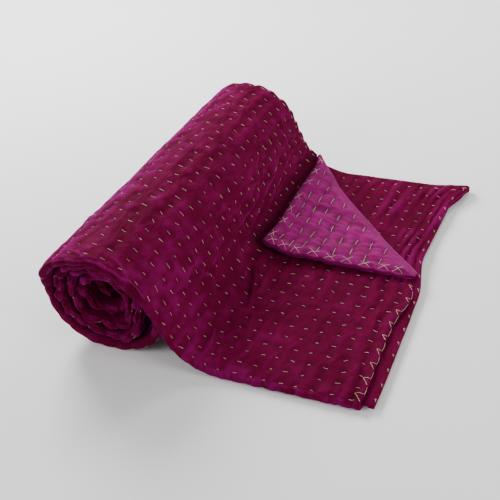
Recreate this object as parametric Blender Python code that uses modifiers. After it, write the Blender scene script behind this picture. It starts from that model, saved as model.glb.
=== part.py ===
"""A kantha quilt folded in thirds, rolled from one end, with its loose end lying flat.

The quilt is one sheet. Its section across the strip is a back-and-forth of three layers: the bottom
third, the middle third folded in from the far side, and the top third folded over from the near side.
That section is carried along one path: the loose end on the floor, the rise up the side of the roll,
and the winding from there over the top and inwards to the core. One corner of the top third is turned
back over the loose end, and shows the cotton back.

Units are metres, with +Z up. X runs along the strip towards its loose end, and Y along the roll.
"""

import math

import bpy
from mathutils import Vector, noise

# The cloth
STRIP_WIDTH = 0.500  # the quilt's 1.5 m width folded in thirds
LOWER_SHORT = 0.011  # how much less than that the two lower thirds reach on the floor
SHEET = 0.0035  # the quilt's thickness, velvet, filling and cotton sewn together
LAYER_GAP = 0.0012  # air between the three folded layers
STACK = 3 * SHEET + 2 * LAYER_GAP
COTTON = 0.0008  # the cotton back where it shows
COTTON_GAP = 0.0006

# The roll
ROLL_RADIUS = 0.096  # outside, where the loose end leaves it
TURN_PITCH = 0.0160  # one turn of three layers, and the air under it
CORE_RADIUS = 0.009  # the empty middle
LEAVE_ANGLE = math.radians(19)  # above the roll's widest point
FLAT_PRESS = 0.0015  # how far the roll's weight flattens it on the floor
FLOOR_GAP = 0.0001  # under that flat
TAPER = 0.13  # the far end is wound tighter by this share
FAR_SHIFT = 0.004  # and stands this much nearer to the loose end
CRUSH = 0.0025  # how far the winding is out of round

# The loose end
END_X = 0.366  # from the roll's axis to the top third's cut end
FOOT_BEND = 0.085  # radius of the curve from the floor up to the roll's side
FLARE = 0.070  # the length over which each third's own cut end is drawn

# The turned-back corner, a square folded along its diagonal
CORNER = 0.252
CORNER_GAP = 0.0036  # between the corner and the top third under it
CORNER_LIFT = 0.007  # how far its tip stands up
CORNER_EDGE = STRIP_WIDTH - CORNER

# The quilting: rows run along the strip, and each stitch draws the cloth down, so it stands in ridges
STITCH_PITCH = 0.0228
QUILTED = 0.62  # the thickness left between two ridges, as a share
FOLDED = 0.75  # and in the tight far fold
RIDGE = 0.0022  # how far a ridge of the top third stands up where nothing lies on it
RIDGE_DRIFT = 0.0035  # how far a ridge wanders along the strip

# Steps along the path
FINE_STEP = STITCH_PITCH / 3
ROLL_STEP = STITCH_PITCH / 2
FINE_TURNS = 0.76  # the roll shows this much of its first turn
CORE_STEP = math.radians(22.5)

# The place of the roll's axis and the near edge, so that the part stands centred on its origin
ROLL_AXIS_X = -0.1511
NEAR_EDGE_Y = -0.2518

BOTTOM, MIDDLE, TOP = (SHEET / 2 + i * (SHEET + LAYER_GAP) for i in range(3))
FLAP = TOP + SHEET + CORNER_GAP


def smooth(low, high, value):
    """0 below low, 1 above high, and an even curve between."""
    share = min(1.0, max(0.0, (value - low) / (high - low)))
    return share * share * (3 - 2 * share)


def wander(u, v=0.0, seed=0.0):
    """An even, repeatable wobble between -1 and 1."""
    return noise.noise(Vector((u, v, seed)))


class Station:
    """One place along the strip: a point on its inner face and the way out of that face."""

    def __init__(self, x, z, normal, along, turns=-1.0, hold=0.0):
        self.x, self.z = x, z
        self.normal = normal
        self.along = along  # from the loose end
        self.turns = turns  # wound since the cloth leaves the roll, or -1 on the loose end
        self.hold = hold  # 0 on the floor, 1 on the roll


def roll_height():
    """The roll's axis above the floor: its outer face at the very bottom, less what is pressed flat."""
    turns_to_bottom = (1.5 * math.pi - LEAVE_ANGLE) / (2 * math.pi)
    return ROLL_RADIUS - TURN_PITCH * turns_to_bottom - FLAT_PRESS


def wound_point(turned):
    """The strip's inner face after turning this far from where the cloth leaves the roll."""
    angle = LEAVE_ANGLE + turned
    radius = ROLL_RADIUS - STACK - TURN_PITCH * turned / (2 * math.pi)
    normal = Vector((math.cos(angle), math.sin(angle)))
    return normal * radius + Vector((0, roll_height())), normal


def rise():
    """The strip's inner face from the floor up to the roll: a curve at the foot, then straight."""
    top, normal = wound_point(0)
    corner_x = top.x + top.y * math.tan(LEAVE_ANGLE)
    turn = math.pi / 2 - LEAVE_ANGLE
    foot_x = corner_x + FOOT_BEND * math.tan(turn / 2)
    bend_steps = round(FOOT_BEND * turn / FINE_STEP)
    points = []
    for i in range(bend_steps + 1):
        turned = turn * i / bend_steps
        out = Vector((math.sin(turned), math.cos(turned)))
        points.append((Vector((foot_x, FOOT_BEND)) - out * FOOT_BEND, out))
    foot, out = points[-1]
    straight_steps = max(1, round((top - foot).length / FINE_STEP))
    for i in range(1, straight_steps):
        points.append((foot.lerp(top, i / straight_steps), out))
    return points


def path():
    """The stations from the loose end to the core."""
    stations = []
    rising = rise()
    on_floor = END_X - rising[0][0].x
    floor_steps = round(on_floor / FINE_STEP)
    for i in range(floor_steps):
        along = on_floor * i / floor_steps
        stations.append(Station(END_X - along, 0.0, Vector((0, 1)), along))

    def add(point, normal, **more):
        last = stations[-1]
        along = last.along + (point - Vector((last.x, last.z))).length
        stations.append(Station(point.x, point.y, normal, along, **more))

    for point, normal in rising:
        add(point, normal, hold=smooth(0.15, 1.0, normal.x))
    roll_steps = round(FINE_TURNS * 2 * math.pi * ROLL_RADIUS / ROLL_STEP)
    turned_list = [FINE_TURNS * 2 * math.pi * i / roll_steps for i in range(roll_steps)]
    all_turns = (ROLL_RADIUS - STACK - CORE_RADIUS) / TURN_PITCH
    core_steps = round((all_turns - FINE_TURNS) * 2 * math.pi / CORE_STEP)
    for i in range(core_steps + 1):
        turned_list.append(2 * math.pi * (FINE_TURNS + (all_turns - FINE_TURNS) * i / core_steps))
    for turned in turned_list:
        add(*wound_point(turned), turns=turned / (2 * math.pi), hold=1.0)
    return stations


def near_edge(station):
    """How far in the strip's near edge lies. The turns step inwards towards the core."""
    if station.turns < 0:
        return 0.0
    first = 0.010 * smooth(0.15, 0.5, station.turns)
    inner = 0.005 * max(0.0, station.turns - 0.5)
    return first + inner + 0.004 * wander(station.along * 26, seed=3.1) * min(1.0, station.turns + 0.2)


def far_edge(station):
    """Where the top third's far edge lies. On the roll each stitch of the quilting draws it in a little."""
    drawn_in = (0.003 + 0.004 * (1 - quilting(station, STRIP_WIDTH))) * station.hold
    inner = 0.004 * max(0.0, station.turns - 0.5)
    return STRIP_WIDTH - drawn_in - inner


def top_end(y):
    """How far the top third's cut end runs past END_X."""
    return 0.008 * (1 - smooth(0.0, 0.16, y))


def lower_end(y):
    """How far the two lower thirds run past END_X: drawn back in the far half, with a corner that flares."""
    drawn_back = smooth(0.20, 0.32, y) * (1 - smooth(0.43, 0.48, y))
    near_half = 0.025 - 0.009 * smooth(0.0, 0.20, y)
    far_half = 0.008 * smooth(0.43, 0.48, y)
    return (near_half if y < 0.32 else far_half) * (1 - drawn_back) - 0.008 * drawn_back


def crush(x, z, seed):
    """How a soft winding is pushed out of round at one of its ends."""
    scale = 16.0
    return Vector((wander(x * scale, z * scale, seed), wander(x * scale, z * scale, seed + 7.7))) * CRUSH


def quilting(station, y):
    """The wave of the quilting: 1 on a ridge that runs across the strip, 0 at the stitches between two."""
    along = station.along + RIDGE_DRIFT * wander(y * 11, station.along * 8, 5.5)
    return 0.5 + 0.5 * math.cos(2 * math.pi * along / STITCH_PITCH)


def place(station, y, height, past_end=0.0):
    """A point of the sheet, height above the strip's inner face."""
    free = 1 - smooth(0.55, 0.7, station.turns)
    height += RIDGE * quilting(station, y) * free * smooth(MIDDLE, TOP, height)
    flat = Vector((station.x, station.z)) + station.normal * height
    across = y / STRIP_WIDTH
    flat *= 1 - TAPER * station.hold * across
    pushed = crush(flat.x, flat.y, 1.5) * (1 - across) + crush(flat.x, flat.y, 4.5) * across
    pushed *= station.hold
    pushed.y *= smooth(0.0, 0.04, flat.y)
    flat += pushed
    end = past_end * (1 - smooth(0.0, FLARE, station.along))
    drift = 0.0045 * wander(y * 9, station.along * 5, 2.2) * smooth(0.0, 0.03, station.along) * (1 - station.hold)
    x = flat.x + FAR_SHIFT * station.hold * across + end + drift
    return Vector((x + ROLL_AXIS_X, y + NEAR_EDGE_Y, flat.y + station_lift(station, across)))


def station_lift(station, across):
    """Lifts the turn that stands on the floor, so that it stands on a flat and not on a line."""
    if not 0 <= station.turns < 1:
        return 0.0
    lowest = (station.z + station.normal.y * TOP) * (1 - TAPER * across)
    return max(0.0, SHEET / 2 + FLOOR_GAP - lowest)


def ridge(station, y):
    """The share of the full thickness that the quilting leaves here. It is full where the roll stands."""
    share = QUILTED + (1 - QUILTED) * quilting(station, y)
    under = smooth(0.62, 0.66, station.turns) * (1 - smooth(0.76, 0.80, station.turns))
    return share + (1 - share) * under


def half_turn(count, start, middle_y, middle_height, radius, side):
    """The points inside a fold, from angle start through half a turn. side is -1 for a fold at the near edge."""
    points = []
    for i in range(1, count + 1):
        angle = math.pi * i / (count + 1)
        reach = radius * math.sin(angle) * side
        points.append((middle_y + reach, middle_height + start * radius * math.cos(angle)))
    return points


def strip_section(station, top_edge):
    """The sheet's middle line across the strip, as (y, height, thickness share, run past the end)."""
    near, far = near_edge(station), far_edge(station) - LOWER_SHORT * (1 - station.hold)
    near_bend = (TOP - BOTTOM) / 2
    far_bend = (MIDDLE - BOTTOM) / 2
    near_y, far_y = near + near_bend + SHEET / 2, far - far_bend - SHEET / 2
    section = []

    def add(y, height, share=1.0, end=0.0):
        section.append((y, height, share, end))

    for part in (1.0, 0.78, 0.5, 0.22, 0.0):
        y = near_y + (top_edge - near_y) * part
        add(y, TOP, ridge(station, y), top_end(y))
    for y, height in half_turn(2, 1, near_y, (TOP + BOTTOM) / 2, near_bend, -1):
        add(y, height, 1.0, top_end(near_y))
    for part in (0.0, 0.3, 0.62, 1.0):
        y = near_y + (far_y - near_y) * part
        add(y, BOTTOM, 1.0, lower_end(y) - 0.017 * (1 - part) ** 2)
    for y, height in half_turn(2, -1, far_y, (MIDDLE + BOTTOM) / 2, far_bend, 1):
        add(y, height, FOLDED, lower_end(far_y))
    inner_y = near_y + SHEET / 4
    for part in (1.0, 0.86, 0.62, 0.40, 0.0):
        y = inner_y + (far_y - inner_y) * part
        add(y, MIDDLE, ridge(station, y), lower_end(y))
    return section


def corner_section(station, fold_y):
    """The turned-back corner's middle line, from its stitched edge to the fold, beside the top third."""
    bend = (FLAP - TOP) / 2
    section = []
    for part in (0.0, 0.33, 0.67, 1.0):
        y = CORNER_EDGE + (fold_y - CORNER_EDGE) * part
        lift = CORNER_LIFT * smooth(0.0, 1.0, (fold_y - y) / CORNER)
        section.append((y, FLAP + lift, ridge(station, y), 0.0))
    for y, height in half_turn(3, 1, fold_y, (FLAP + TOP) / 2, bend, math.sqrt(2)):
        section.append((y, height, 1.0, 0.0))
    return section


def fold_edge(station):
    """Where the top third ends at this station: its stitched far edge, or the diagonal fold."""
    if station.along > CORNER:
        return far_edge(station), False
    least = 0.004
    return CORNER_EDGE + least + (CORNER - least) * station.along / CORNER, True


def skin(name, rows, material):
    """A mesh over rows of points. Rows may start late: each is a list with None where it has no point."""
    vertices, faces, shares = [], [], []
    numbers = []
    for row in rows:
        numbers.append([])
        for item in row:
            numbers[-1].append(None if item is None else len(vertices))
            if item is not None:
                vertices.append(item[0])
                shares.append(item[1])
    for here, after in zip(numbers, numbers[1:]):
        for i in range(len(here) - 1):
            corners = (here[i], here[i + 1], after[i + 1], after[i])
            if None not in corners:
                faces.append(corners)
    mesh = bpy.data.meshes.new(name)
    mesh.from_pydata(vertices, [], faces)
    mesh.shade_smooth()
    mesh.materials.append(material)
    piece = bpy.data.objects.new(name, mesh)
    group = piece.vertex_groups.new(name="quilting")
    for number, share in enumerate(shares):
        group.add([number], share, "REPLACE")
    return piece


def thicken(piece, thickness, offset=0.0):
    """Gives an open sheet its thickness, drawn in where the quilting is."""
    solid = piece.modifiers.new("thickness", "SOLIDIFY")
    solid.thickness = thickness
    solid.offset = offset
    solid.vertex_group = "quilting"
    return piece


def velvet_quilt(stations, material):
    """The whole quilt as one sheet, corner included."""
    rows = []
    for station in stations:
        edge, folded = fold_edge(station)
        corner = corner_section(station, edge) if folded else [None] * 7
        row = corner + strip_section(station, edge)
        rows.append([item and (place(station, item[0], item[1], item[3]), item[2]) for item in row])
    return thicken(skin("quilt", rows, material), SHEET)


def cotton_back(stations, material):
    """The cotton back of the turned-back corner, lying on the quilt's own sheet."""
    rows = []
    above = SHEET / 2 + COTTON_GAP + COTTON / 2
    for station in stations:
        edge, folded = fold_edge(station)
        if not folded:
            continue
        row = []
        for y, height, share, _ in corner_section(station, edge)[:4]:
            row.append((place(station, y, height + above), 1.0))
        rows.append(row)
    return thicken(skin("cotton_back", rows, material), COTTON)


def fabric(name, colour, roughness):
    """A plain cloth material."""
    material = bpy.data.materials.new(name)
    material.use_nodes = True
    shader = material.node_tree.nodes["Principled BSDF"]
    shader.inputs["Base Color"].default_value = (*colour, 1.0)
    shader.inputs["Roughness"].default_value = roughness
    shader.inputs["Metallic"].default_value = 0.0
    material.diffuse_color = (*colour, 1.0)
    return material


def main():
    for old in list(bpy.data.objects):
        bpy.data.objects.remove(old)
    collection = bpy.data.collections.new("kantha_quilt")
    bpy.context.scene.collection.children.link(collection)
    stations = path()
    velvet = fabric("velvet", (0.15, 0.004, 0.045), 0.85)
    cotton = fabric("cotton", (0.38, 0.03, 0.22), 0.90)
    for piece in (velvet_quilt(stations, velvet), cotton_back(stations, cotton)):
        collection.objects.link(piece)


main()
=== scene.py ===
import math

import bpy
import numpy as np
from mathutils import Matrix, Vector, noise


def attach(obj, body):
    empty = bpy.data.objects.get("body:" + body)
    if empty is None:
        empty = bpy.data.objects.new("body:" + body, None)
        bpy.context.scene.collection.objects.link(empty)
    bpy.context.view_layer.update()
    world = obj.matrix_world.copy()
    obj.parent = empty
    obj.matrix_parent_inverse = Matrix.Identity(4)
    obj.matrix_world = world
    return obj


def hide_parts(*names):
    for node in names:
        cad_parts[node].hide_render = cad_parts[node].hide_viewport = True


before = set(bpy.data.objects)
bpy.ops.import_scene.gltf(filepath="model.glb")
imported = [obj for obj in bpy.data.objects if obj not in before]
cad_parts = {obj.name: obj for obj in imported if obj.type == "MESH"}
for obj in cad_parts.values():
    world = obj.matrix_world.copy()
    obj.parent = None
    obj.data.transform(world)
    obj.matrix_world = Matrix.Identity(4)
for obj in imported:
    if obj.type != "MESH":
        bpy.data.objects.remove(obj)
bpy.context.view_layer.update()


def addObject(name, data):
    item = bpy.data.objects.new(name, data)
    bpy.context.scene.collection.objects.link(item)
    return item


# camera
cameraView = {
    "lens": 76.6,
    "sensor": 36,
    "nearest": 0.01,
    "azimuth": 31.56,
    "elevation": 37.08,
    "roll": -10.55,
    "place": (0.6240, -1.0899, 0.9809),
}


def addCamera(view):
    turn, tilt, roll = (math.radians(view[key]) for key in ("azimuth", "elevation", "roll"))
    back = Vector((math.sin(turn) * math.cos(tilt), -math.cos(turn) * math.cos(tilt), math.sin(tilt)))
    level = Vector((math.cos(turn), math.sin(turn), 0))
    right = level * math.cos(roll) + back.cross(level) * math.sin(roll)
    axes = Matrix((right, back.cross(right), back)).transposed()
    data = bpy.data.cameras.new("camera")
    data.lens, data.sensor_width, data.clip_start = view["lens"], view["sensor"], view["nearest"]
    camera = addObject("camera", data)
    camera.matrix_world = Matrix.Translation(view["place"]) @ axes.to_4x4()
    bpy.context.scene.camera = camera


addCamera(cameraView)
print("camera placed")

# the strip: the quilt folded in thirds, as it lies and as it is wound
strip = {
    "width": 0.500,
    "lowerShort": 0.011,  # the two lower thirds reach less far on the floor
    "sheet": 0.0035,
    "layerGap": 0.0012,
    "rollRadius": 0.096,
    "turnPitch": 0.0160,
    "coreRadius": 0.009,
    "leaveAngle": 19,  # degrees above the roll's widest point
    "flatPress": 0.0015,
    "taper": 0.13,  # the far end is wound tighter
    "farShift": 0.004,
    "crush": 0.0025,
    "endX": 0.366,  # from the roll's axis to the cut end
    "footBend": 0.085,
    "flare": 0.070,
    "drift": 0.0045,  # the loose end lies a little askew
    "corner": 0.252,  # side of the turned-back corner
    "cornerGap": 0.0036,
    "cornerLift": 0.007,
    "edgeLift": 0.0025,
    "floorGap": 0.0003,
    "axisX": -0.1511,
    "nearY": -0.2518,
    "steps": (60, 10, 900),  # in the path's foot, rise and roll
}
stack = 3 * strip["sheet"] + 2 * strip["layerGap"]
bottomH, middleH, topH = (strip["sheet"] / 2 + i * (strip["sheet"] + strip["layerGap"]) for i in range(3))
flapH = topH + strip["sheet"] + strip["cornerGap"]
cornerEdge = strip["width"] - strip["corner"]
leave = math.radians(strip["leaveAngle"])
axisZ = strip["rollRadius"] - strip["turnPitch"] * (1.5 * math.pi - leave) / (2 * math.pi) - strip["flatPress"]


def smooth(low, high, value):
    share = np.clip((value - low) / (high - low), 0, 1)
    return share * share * (3 - 2 * share)


def window(value, low, full, ebb, high):
    # 0 outside low and high, 1 from full to ebb
    return smooth(low, full, value) * smooth(high, ebb, value)


def hump(value, centre, width):
    return np.exp(-(((value - centre) / width) ** 2))


def lobes(place, power):
    # 0 at whole numbers, 1 halfway between them
    return np.abs(np.sin(np.pi * place)) ** power


def nearest(value, count):
    return np.clip(np.round(value), 0, count - 1).astype(int)


noiseAt = np.vectorize(lambda u, v, w: noise.noise(Vector((u, v, w))))


def wander(u, v, seed):
    # smooth, repeatable wobble between -1 and 1
    return noiseAt(*np.broadcast_arrays(u, v, seed))


def stripPath():
    # dense table of the strip's inner face: length along, x, z, angle of the way out, turns wound, hold
    footSteps, riseSteps, rollSteps = strip["steps"]
    inner, bend = strip["rollRadius"] - stack, strip["footBend"]
    topX, topZ = inner * math.cos(leave), axisZ + inner * math.sin(leave)
    footX = topX + topZ * math.tan(leave) + bend * math.tan((math.pi / 2 - leave) / 2)
    table = [(strip["endX"], 0, math.pi / 2, -1), (footX + 0.001, 0, math.pi / 2, -1)]
    for angle in np.linspace(0, 1, footSteps) * (math.pi / 2 - leave):
        table.append((footX - bend * math.sin(angle), bend * (1 - math.cos(angle)), math.pi / 2 - angle, -1))
    x0, z0 = table[-1][:2]
    for share in np.linspace(0.05, 0.95, riseSteps):
        table.append((x0 + (topX - x0) * share, z0 + (topZ - z0) * share, leave, -1))
    for turns in np.linspace(0, (inner - strip["coreRadius"]) / strip["turnPitch"], rollSteps):
        radius, angle = inner - strip["turnPitch"] * turns, leave + 2 * math.pi * turns
        table.append((radius * math.cos(angle), axisZ + radius * math.sin(angle), angle, turns))
    x, z, angle, turns = np.array(table).T
    along = np.concatenate([[0], np.cumsum(np.hypot(np.diff(x), np.diff(z)))])
    hold = np.where(turns >= 0, 1.0, smooth(0.15, 1.0, np.cos(angle)))
    return along, x, z, angle, turns, hold


pathAlong, *pathColumns = stripPath()
pathTurns = pathColumns[3]
isWound = pathTurns >= 0


def readPath(along):
    return [np.interp(along, pathAlong, column) for column in pathColumns]


def alongAt(turns):
    return np.interp(turns, pathTurns[isWound], pathAlong[isWound])


# quilting: rows of running stitch along the strip, and the relief that they draw
quilting = {
    "rows": 24,
    "most": 120,  # stitches in a row
    "pitch": 0.0228,
    "rowGap": 0.0210,
    "firstRow": 0.0085,  # from the top third's stitched edge
    "drift": (0.0030, 0.0016),  # of a row against the next one, and of a row on its own
    "middleDrift": 0.027,
    "slip": 0.0012,
    "skew": 0.0006,
    "stitch": 0.0056,
    "unevenStitch": 0.24,
    "rollStitch": 1.12,  # the thread shows longer where the cloth is stretched round the roll
    "dimple": 0.0015,
    "dimpleWidth": 0.0055,
    "seed": 11,
}
layers = ("top", "middle", "bottom")
rowCount = quilting["rows"]
drawRows = np.random.default_rng(quilting["seed"])
rowEdge = quilting["firstRow"] + quilting["rowGap"] * np.arange(rowCount)
rowDrift = np.cumsum(drawRows.normal(0, quilting["drift"][0], rowCount))
rowDrift -= np.linspace(0, rowDrift[-1], rowCount)
rowPhase = {name: rowDrift + drawRows.normal(0, quilting["drift"][1], rowCount) for name in layers}
rowPhase["middle"] = rowPhase["middle"] + np.linspace(0, quilting["middleDrift"], rowCount)
stitchJitter = dict(zip(layers, drawRows.normal(0, 1, (len(layers), rowCount, quilting["most"]))))


def stitchCentre(layer, row, number):
    slip = quilting["slip"] * stitchJitter[layer][row, number]
    return rowPhase[layer][row] + quilting["pitch"] * (number + 0.5) + slip


def stitchPlaces(layer, row, first, last):
    # centres, lengths and skews of one row's stitches, by place along the strip
    jitter = stitchJitter[layer][row]
    centre = stitchCentre(layer, row, np.arange(quilting["most"]))
    size = quilting["stitch"] * (1 + quilting["unevenStitch"] * np.clip(jitter[::-1], -1.6, 2.4))
    onRise = (quilting["rollStitch"] - 1) * smooth(0.27, 0.36, centre)
    size = size * (1 + onRise - 0.08 * smooth(0.27, 0.20, centre) - 0.38 * smooth(0.415, 0.475, centre))
    keep = (centre > first) & (centre < last)
    return centre[keep], size[keep], quilting["skew"] * np.roll(jitter, 7)[keep]


def ridgeWave(layer, along, fromEdge):
    # puffs between the stitches of neighbouring rows: 1 on a crest, 0 in the valley that the stitches draw
    drift = np.interp(fromEdge, rowEdge, rowPhase[layer])
    lazy = 0.0026 * wander(fromEdge * 16, along * 14, 8.1)
    return lobes((along - drift - lazy) / quilting["pitch"] + 0.5, 0.85)


def dimples(layer, length, fromEdge):
    # how far each point is drawn down by the nearest stitch
    row = nearest((fromEdge - quilting["firstRow"]) / quilting["rowGap"], rowCount)
    number = nearest((length - rowPhase[layer][row]) / quilting["pitch"] - 0.5, quilting["most"])
    away = (length - stitchCentre(layer, row, number)) / 1.25
    return hump(np.hypot(away, fromEdge - rowEdge[row]), 0, quilting["dimpleWidth"])


sewing = {
    "radius": 0.00026,
    "edgeRadius": 0.9,  # of that, for the thread along the edges
    "sides": 5,
    "edgePitch": 0.0268,
    "edgeReach": 0.0092,
    "edgeWidth": 0.0130,
}

# creases on the top third, listed one by one: points (along, from the near edge) in mm, height and width in 0.1 mm
creases = (
    (((375, 439), (353, 444), (335, 449), (314, 440)), 10, 22),
    (((346, 425), (324, 407), (314, 388), (305, 371), (303, 349), (297, 330), (290, 312), (287, 290), (283, 269),
      (279, 246)), 13, 22),
    (((310, 475), (304, 445), (299, 411), (289, 384), (285, 353), (278, 334), (272, 304), (268, 274)), 12, 24),
    (((332, 356), (317, 340), (312, 325), (304, 305), (303, 274), (304, 243), (299, 221)), 12, 22),
    (((345, 124), (322, 118), (303, 124), (292, 135)), 9, 20),
    (((301, 126), (303, 155), (306, 175), (316, 190)), 9, 20),
    (((300, 130), (285, 136), (272, 128)), 11, 24),
    (((240, 200), (234, 189), (227, 169), (216, 141)), -18, 30),
    (((246, 196), (241, 180), (234, 160)), 12, 35),
    (((152, 140), (165, 115), (169, 82), (169, 53), (177, 22)), 13, 32),
    (((143, 135), (135, 155), (119, 164), (105, 160)), 13, 30),
    (((102, 176), (88, 145), (81, 119), (77, 80)), 9, 42),
    (((46, 205), (28, 170), (21, 117), (20, 60), (20, 18)), 17, 42),
    (((205, 100), (190, 60), (196, 25)), 11, 40),
    (((235, 75), (225, 40), (232, 12)), 12, 36),
    (((383, 0), (391, 7), (402, 13), (416, 16)), 19, 24),
    (((438, -3), (447, 4), (459, 10), (474, 13)), 19, 24),
    (((127, 1), (128, 12), (131, 22)), -14, 20),
    (((106, 1), (107, 12), (110, 20)), -12, 20),
    (((27, 1), (26, 16), (29, 34)), -22, 22),
    (((10, 1), (11, 18), (9, 32)), -16, 20),
    (((66, 170), (58, 120), (52, 70), (50, 30)), 14, 36),
    (((470, 190), (458, 212), (452, 236)), 12, 34),
    (((505, 320), (490, 345), (484, 372)), 12, 34),
    (((432, 140), (420, 165), (418, 186)), 10, 30),
    (((466, 392), (452, 415), (450, 438)), 12, 34),
    (((520, 90), (506, 115), (500, 140)), 12, 34),
    (((535, 235), (520, 262), (517, 290)), 13, 38),
    (((600, 120), (585, 170), (590, 215)), 12, 50),
    (((640, 300), (620, 340), (625, 395)), 12, 50),
)


def creaseRelief(along, y):
    total = np.zeros(np.broadcast(along, y).shape)
    along = along + 0.0024 * wander(y * 62, along * 26, 5.9)  # creases wander and fade in places
    y = y + 0.0012 * wander(along * 55, y * 30, 8.3)
    for points, height, width in creases:
        points, height, width = np.array(points) / 1000, height / 10000, width / 10000
        reach, side, fade = total * 0 + 1, total * 0, total * 0
        for number, (start, run) in enumerate(zip(points, np.diff(points, axis=0))):
            size = np.hypot(*run)
            offAlong, offY = along - start[0], y - start[1]
            share = np.clip((offAlong * run[0] + offY * run[1]) / size**2, 0, 1)
            off = np.hypot(offAlong - share * run[0], offY - share * run[1])
            closer = off < reach
            reach = np.where(closer, off, reach)
            side = np.where(closer, (offAlong * run[1] - offY * run[0]) / size, side)
            fade = np.where(closer, (number + share) / (len(points) - 1), fade)
        strength = height * (0.25 + 0.75 * np.sin(np.pi * np.clip(fade, 0.03, 0.97)) ** 0.6)
        hollow = hump(side, 1.9 * width, 1.1 * width) * hump(np.maximum(reach - 4 * width, 0), 0, width)
        ridge = np.exp(-((reach / width) ** 1.4)) - 0.55 * hollow
        total += strength * np.where(reach < 6 * width, ridge, 0)
    return total * (0.70 + 1.1 * np.abs(wander(along * 58, y * 46, 3.1)))


# edges of the strip
edges = {
    "nearSteps": ((0.388, 0.0050), (0.443, 0.0050)),  # places along, and how far the near fold steps out there
    "stepSoftness": 0.0025,
    "crownRecess": 0.010,
    "nearRecess": 0.0020,  # the turns step back at the near end, per turn
    "coreRecess": 0.020,
    "tuck": 0.0090,  # under the outermost lip the next turn comes forward again
    "coreShift": 0.0016,  # the turns are wound off centre, per turn
    "notches": ((0.127, 0.0022), (0.106, 0.0018), (0.027, 0.0032), (0.010, 0.0024)),  # drawn in: place, depth
    "notchWidth": 0.0022,
    "bulge": 0.0052,  # how far the fold stands out between two stitches
    "ledge": 0.0030,  # the fold's inner lip stands this much further out where the turns are pressed together
    "footLobe": 0.0150,  # a lobe fills the hollow under the cloth that leaves the roll
    "settle": 0.0036,  # the second turn's fold lies down on the outer turn at the bottom
    "lipDepth": 0.016,
    "sway": 0.0092,
    "swayDepth": 0.030,
    "openFold": 0.0055,
    "scallop": 0.0050,
    "farRecess": 0.004,
    "cornerScallop": 0.0034,
    "cornerInset": 0.0090,  # the turned corner's fold runs this far inside the true diagonal
    "cornerDraw": 0.0065,  # and its edge beside the roll is drawn in
    "hem": 0.0009,  # the turned corner's stitched edge is this much thicker
    "tip": (0.205, 0.024),  # where the turned corner's end lies on the strip's cut end: place, width
    "rim": 0.0009,
}


def nearEdge(along, turns):
    place, soft = np.zeros_like(along), edges["stepSoftness"]
    for step, size in edges["nearSteps"]:
        place -= size * smooth(step - soft, step + soft, along)
    total = sum(size for _, size in edges["nearSteps"])
    wound = np.maximum(turns, 0)
    place += (total + edges["crownRecess"]) * smooth(0.29, 0.47, wound) - 0.003 * hump(turns, 0.345, 0.03)
    place += edges["nearRecess"] * np.maximum(0, wound - 0.5) + edges["coreRecess"] * smooth(2.7, 4.6, wound)
    place -= edges["tuck"] * hump(turns, 1.24, 0.13)
    for notch, depth in edges["notches"]:
        place += depth * hump(along, notch, edges["notchWidth"])
    return place


def farEdge(along, turns, hold):
    drawn = (0.002 + edges["scallop"] * (1 - lobes(along / quilting["pitch"], 0.8))) * hold
    return strip["width"] - drawn - edges["farRecess"] * np.maximum(0, turns - 0.5)


def topEnd(y):
    return 0.008 * (1 - smooth(0.0, 0.16, y)) + 0.0065 * hump(y, *edges["tip"])


def lowerEnd(y):
    drawnBack = smooth(0.20, 0.32, y) * (1 - smooth(0.43, 0.48, y))
    nearHalf = 0.025 - 0.009 * smooth(0.0, 0.20, y)
    farHalf = 0.008 * smooth(0.43, 0.48, y)
    half = np.where(y < 0.32, nearHalf, farHalf)
    return half * (1 - drawnBack) - 0.008 * drawnBack - 0.0025 * hump(y, *edges["tip"])


def placeCloth(along, y, height, pastEnd):
    # world place of a point that lies height above the strip's inner face
    x, z, angle, turns, hold = readPath(along)
    across = y / strip["width"]
    shrink = 1 - strip["taper"] * hold * across
    flatX, flatZ = (x + np.cos(angle) * height) * shrink, (z + np.sin(angle) * height) * shrink
    push = []
    for nearSeed, farSeed in ((1.5, 4.5), (9.2, 12.2)):
        nearPush, farPush = (wander(flatX * 16, flatZ * 16, seed) for seed in (nearSeed, farSeed))
        push.append(strip["crush"] * hold * (nearPush * (1 - across) + farPush * across))
    end = pastEnd * (1 - smooth(0.0, strip["flare"], along))
    drift = strip["drift"] * wander(y * 9, along * 5, 2.2) * smooth(0.0, 0.03, along) * (1 - hold)
    lowest = (z + np.sin(angle) * topH) * (1 - strip["taper"] * across)
    lift = np.where((turns >= 0) & (turns < 1), np.maximum(0, strip["sheet"] / 2 + 0.0001 - lowest), 0)
    outX = flatX + push[0] + strip["farShift"] * hold * across + end + drift + strip["axisX"]
    outZ = flatZ + push[1] * smooth(0.0, 0.04, flatZ) + lift
    return np.stack([outX, y + strip["nearY"], outZ], axis=-1)


# the cloth's grid
grid = {
    "flap": 90,
    "flapRim": (0, 0.0012, 0.0028, 0.0046, 0.0070, 0.0096),  # columns at fixed distances from its stitched edge
    "flapBend": 7,
    "top": 176,
    "nearBend": 17,
    "bottom": (0, 0.006, 0.014, 0.025, 0.05, 0.1, 0.2, 0.32, 0.44, 0.56, 0.68, 0.8, 0.9, 0.96, 1),
    "farBend": 6,
    "middle": 80,
    "endRows": (0, 0.0016, 0.004),
    "rowSteps": ((0.215, 0.0026), (0.385, 0.0021)),  # up to this length along, rows this far apart
    "rollSteps": ((0.46, 0.0034), (0.86, 0.0052), (2.6, 0.0031), (3.7, 0.0028), (9, 0.0022)),  # by turns wound
}


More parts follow.
